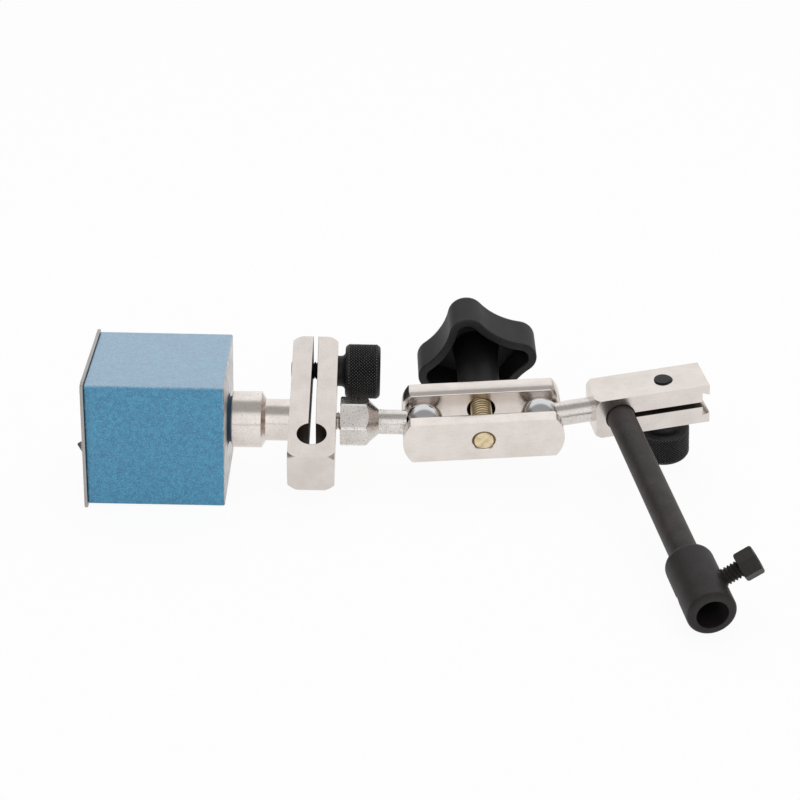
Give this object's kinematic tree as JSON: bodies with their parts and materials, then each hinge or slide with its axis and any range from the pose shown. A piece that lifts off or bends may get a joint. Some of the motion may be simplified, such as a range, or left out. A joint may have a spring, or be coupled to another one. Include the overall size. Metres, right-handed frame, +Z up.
{
  "type": "magnetic base",
  "caption": "Small square magnetic base with a post, a slotted adjusting block, a ball joint clamp with star knob, and a rod with a stem sleeve, lying on its side.",
  "frame": {"origin": "centre of the pole face, on the axis of the post", "axes": "+X along the post away from the pole face, +Z up as the object lies, +Y towards the switch"},
  "size_m": [0.1741, 0.1272, 0.0441],
  "materials": {
    "blue_paint": "hammertone paint, worn at the edges",
    "bright_steel": "ground",
    "magnet_grey": "sintered",
    "nickel": "satin nickel plate",
    "ball_chrome": "polished",
    "yellow_zinc": "yellow zinc plate",
    "black_plastic": "moulded, fine grain",
    "black_knurl": "black oxide, knurled",
    "black_oxide": "black oxide, satin"
  },
  "bodies": {
    "root": {"pole_upper": "blue_paint", "pole_lower": "blue_paint", "pole_spacer": "blue_paint", "chamber_cover": "bright_steel", "keeper_plate": "bright_steel", "post": "nickel", "adjust_block": "nickel"},
    "switch": {"rotor_magnet": "magnet_grey", "rotor_cheek_left": "bright_steel", "rotor_cheek_right": "bright_steel", "rotor_shaft": "bright_steel", "switch_knob": "black_plastic", "knob_screw": "bright_steel"},
    "adjust_screw": {"adjust_screw": "black_knurl"},
    "stud_a": {"ball_stud_a": "ball_chrome"},
    "clamp": {"clamp_plate_front": "nickel", "clamp_plate_back": "nickel"},
    "clamp_knob": {"clamp_screw": "yellow_zinc", "star_knob": "black_plastic"},
    "stud_b": {"ball_stud_b": "ball_chrome"},
    "head": {"head_block": "nickel"},
    "head_screw": {"head_screw": "black_knurl"},
    "rod": {"rod": "black_oxide"},
    "sleeve": {"sleeve": "black_oxide"},
    "sleeve_screw": {"sleeve_screw": "black_oxide"}
  },
  "joints": [
    {"name": "switch_turn", "type": "hinge", "parent": "root", "child": "switch", "pos_m": [0.017, 0, 0], "axis": [0, 1, 0], "range_deg": [0, 90]},
    {"name": "adjust_screw_turn", "type": "hinge", "parent": "root", "child": "adjust_screw", "pos_m": [0.06015, 0.01884, 0.00671], "axis": [1, 0, 0], "continuous": true},
    {"name": "stud_a_spin", "type": "hinge", "parent": "root", "child": "stud_a", "pos_m": [0.0908, 0, 0], "axis": [1, 0, 0], "continuous": true},
    {"name": "clamp_swing", "type": "hinge", "parent": "stud_a", "child": "clamp", "pos_m": [0.0908, 0, 0], "axis": [-0.0244, 0.9706, 0.2396], "range_deg": [-80, 90]},
    {"name": "clamp_knob_turn", "type": "hinge", "parent": "clamp", "child": "clamp_knob", "pos_m": [0.10676, 0.00011, 0.00117], "axis": [-0.0244, 0.9706, 0.2396], "continuous": true},
    {"name": "stud_b_swing", "type": "hinge", "parent": "clamp", "child": "stud_b", "pos_m": [0.12271, 0.00022, 0.00234], "axis": [0.0244, -0.9706, -0.2396], "range_deg": [-90, 90]},
    {"name": "head_spin", "type": "hinge", "parent": "stud_b", "child": "head", "pos_m": [0.12271, 0.00022, 0.00234], "axis": [0.9823, 0.1451, 0.1184], "continuous": true},
    {"name": "head_screw_turn", "type": "hinge", "parent": "head", "child": "head_screw", "pos_m": [0.15709, 0.0053, 0.00649], "axis": [-0.0954, -0.1562, 0.9831], "continuous": true},
    {"name": "rod_slide", "type": "slide", "parent": "head", "child": "rod", "axis": [0.1611, -0.977, -0.1396], "range_m": [-0.06, 0.005]},
    {"name": "sleeve_turn", "type": "hinge", "parent": "rod", "child": "sleeve", "pos_m": [0.14364, 0.00331, 0.00487], "axis": [0.1611, -0.977, -0.1396], "continuous": true},
    {"name": "sleeve_screw_turn", "type": "hinge", "parent": "sleeve", "child": "sleeve_screw", "pos_m": [0.16537, -0.07749, -0.00124], "axis": [0.8319, 0.0583, 0.5518], "continuous": true}
  ]
}
